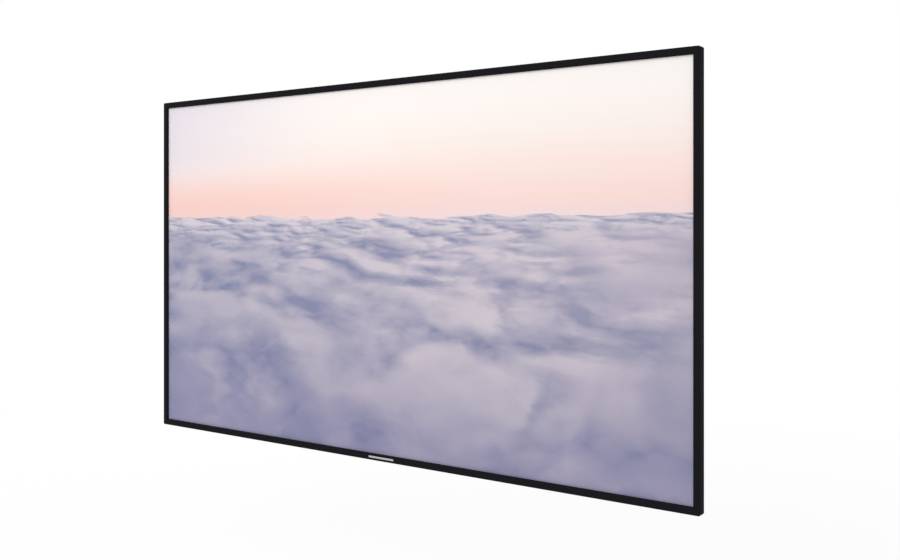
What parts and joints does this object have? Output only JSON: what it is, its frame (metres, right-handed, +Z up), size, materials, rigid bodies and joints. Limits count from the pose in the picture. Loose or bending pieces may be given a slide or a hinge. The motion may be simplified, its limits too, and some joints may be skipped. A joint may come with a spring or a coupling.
{
  "type": "fixed frame projector screen",
  "caption": "Wide flat projector screen: film stretched by springs in a slim black aluminium frame, with an upright bar behind it and brackets that hang it on a wall.",
  "frame": {"origin": "middle of the whole object's box, its wall brackets included", "axes": "+X to the viewer's right along the picture's width, -Y out of the front face, +Z up"},
  "size_m": [2.258, 0.0286, 1.289],
  "materials": {
    "rail_black": "satin black anodised extrusion",
    "screen_film": "matt pale projection film, black on its back",
    "zinc_steel": "zinc plated pressed steel",
    "dark_steel": "black oxide",
    "spring_steel": "bright zinc plated wire on a pale glass fibre rod",
    "mill_aluminium": "plain extruded",
    "black_nylon": "moulded, fine matt grain",
    "black_enamel": "satin black powder coat",
    "satin_badge": "fine brushed, blank"
  },
  "bodies": {
    "root": {"top_rail_left": "rail_black", "top_rail_right": "rail_black", "bottom_rail_left": "rail_black", "bottom_rail_right": "rail_black", "left_rail": "rail_black", "right_rail": "rail_black", "top_left_corner_plate": "zinc_steel", "top_right_corner_plate": "zinc_steel", "bottom_right_corner_plate": "zinc_steel", "bottom_left_corner_plate": "zinc_steel", "top_straight_plate": "zinc_steel", "bottom_straight_plate": "zinc_steel", "top_left_grub_screw_1": "dark_steel", "top_left_grub_screw_2": "dark_steel", "top_left_grub_screw_3": "dark_steel", "top_left_grub_screw_4": "dark_steel", "top_right_grub_screw_1": "dark_steel", "top_right_grub_screw_2": "dark_steel", "top_right_grub_screw_3": "dark_steel", "top_right_grub_screw_4": "dark_steel", "bottom_right_grub_screw_1": "dark_steel", "bottom_right_grub_screw_2": "dark_steel", "bottom_right_grub_screw_3": "dark_steel", "bottom_right_grub_screw_4": "dark_steel", "bottom_left_grub_screw_1": "dark_steel", "bottom_left_grub_screw_2": "dark_steel", "bottom_left_grub_screw_3": "dark_steel", "bottom_left_grub_screw_4": "dark_steel", "top_middle_grub_screw_1": "dark_steel", "top_middle_grub_screw_2": "dark_steel", "top_middle_grub_screw_3": "dark_steel", "top_middle_grub_screw_4": "dark_steel", "bottom_middle_grub_screw_1": "dark_steel", "bottom_middle_grub_screw_2": "dark_steel", "bottom_middle_grub_screw_3": "dark_steel", "bottom_middle_grub_screw_4": "dark_steel", "screen_film": "screen_film", "left_hem_rod_with_springs": "spring_steel", "top_hem_rod_with_springs": "spring_steel", "right_hem_rod_with_springs": "spring_steel", "bottom_hem_rod_with_springs": "spring_steel", "support_bar": "mill_aluminium", "top_bar_clip": "black_nylon", "bottom_bar_clip": "black_nylon", "top_wall_bracket_left": "black_enamel", "top_wall_bracket_right": "black_enamel", "bottom_wall_bracket_left": "black_enamel", "bottom_wall_bracket_right": "black_enamel", "blank_badge": "satin_badge"}
  },
  "joints": []
}
